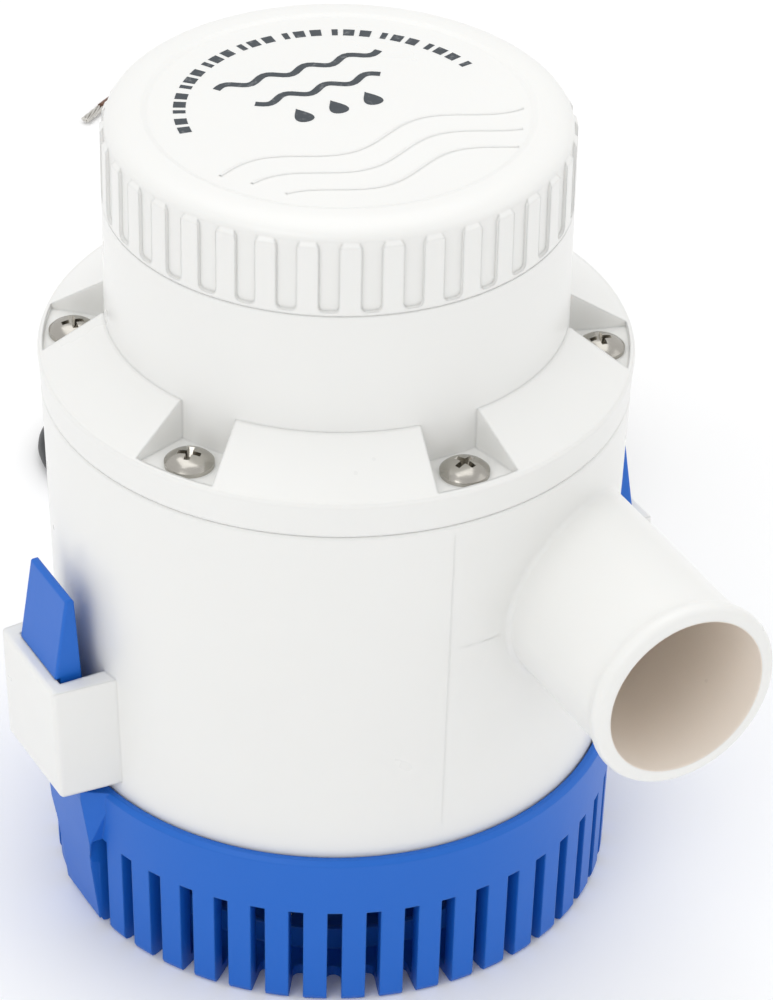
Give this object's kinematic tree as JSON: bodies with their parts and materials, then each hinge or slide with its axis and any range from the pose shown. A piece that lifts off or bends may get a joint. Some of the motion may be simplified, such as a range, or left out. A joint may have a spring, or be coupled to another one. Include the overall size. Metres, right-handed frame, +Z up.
{
  "type": "submersible bilge pump",
  "caption": "Submersible electric bilge pump with a clip-on slotted strainer, tangential hose spigot, bolted motor cover, ribbed cap and two-core lead.",
  "frame": {"origin": "centre of the strainer's underside, on the motor's axis, at the surface that the pump stands on", "axes": "+Z up along the motor's axis; the hose spigot points along -Y, offset towards +X; the snap arms stand at -X and +X"},
  "size_m": [0.2338, 0.4291, 0.1876],
  "materials": {
    "white_plastic": "moulded, lightly polished",
    "blue_plastic": "moulded, lightly polished",
    "stainless": "plain stainless, passivated",
    "steel": "zinc plated",
    "lamination_steel": "stacked sheet",
    "ferrite": "sintered",
    "copper": "bare or enamelled copper",
    "carbon": "pressed carbon",
    "black_rubber": "matt",
    "nylon": "natural, moulded",
    "black_pvc": "satin cable sheath",
    "brown_pvc": "satin wire insulation",
    "tinned_copper": "tinned strands"
  },
  "bodies": {
    "strainer_base": {"strainer": "blue_plastic", "cable_coil": "black_pvc", "cable_tie": "nylon", "cable_tail": "black_pvc", "brown_core": "brown_pvc", "black_core": "black_pvc", "brown_tip": "tinned_copper", "black_tip": "tinned_copper"},
    "left_arm": {"snap_arm_left": "blue_plastic"},
    "right_arm": {"snap_arm_right": "blue_plastic"},
    "pump_body": {"pump_housing": "white_plastic", "motor_housing": "white_plastic", "top_cap": "white_plastic", "flange_screws": "stainless", "flange_o_ring": "black_rubber", "cap_o_ring": "black_rubber", "motor_cushion": "black_rubber", "shaft_seal": "black_rubber", "motor_can": "steel", "lower_end_plate": "steel", "upper_end_plate": "steel", "lower_bearing": "steel", "upper_bearing": "steel", "field_magnet_left": "ferrite", "field_magnet_right": "ferrite", "brush_carrier": "nylon", "brush_spring_left": "steel", "brush_spring_right": "steel", "inner_lead_brown": "brown_pvc", "inner_lead_black": "black_pvc", "cable_gland": "black_rubber", "supply_cable": "black_pvc"},
    "rotor": {"motor_shaft": "stainless", "armature_core": "lamination_steel", "armature_windings": "copper", "commutator": "copper", "impeller": "nylon", "impeller_nut": "stainless"},
    "left_brush": {"brush_left": "carbon"},
    "right_brush": {"brush_right": "carbon"}
  },
  "joints": [
    {"name": "lift_off", "type": "slide", "parent": "strainer_base", "child": "pump_body", "axis": [0, 0, 1], "range_m": [0, 0.06], "deforming": ["snap_arm_left", "snap_arm_right"]},
    {"name": "left_arm_flex", "type": "hinge", "parent": "strainer_base", "child": "left_arm", "pos_m": [-0.0649, 0, 0.04095], "axis": [0, 1, 0], "range_deg": [0, 3], "stiffness_Nm_per_rad": 3},
    {"name": "right_arm_flex", "type": "hinge", "parent": "strainer_base", "child": "right_arm", "pos_m": [0.0649, 0, 0.04095], "axis": [0, -1, 0], "range_deg": [0, 3], "stiffness_Nm_per_rad": 3},
    {"name": "rotor_spin", "type": "hinge", "parent": "pump_body", "child": "rotor", "pos_m": [0, 0, 0.1], "axis": [0, 0, 1], "continuous": true},
    {"name": "left_brush_slide", "type": "slide", "parent": "pump_body", "child": "left_brush", "axis": [-1, 0, 0], "range_m": [0, 0.002], "stiffness_N_per_m": 150, "deforming": ["brush_spring_left"]},
    {"name": "right_brush_slide", "type": "slide", "parent": "pump_body", "child": "right_brush", "axis": [1, 0, 0], "range_m": [0, 0.002], "stiffness_N_per_m": 150, "deforming": ["brush_spring_right"]}
  ]
}
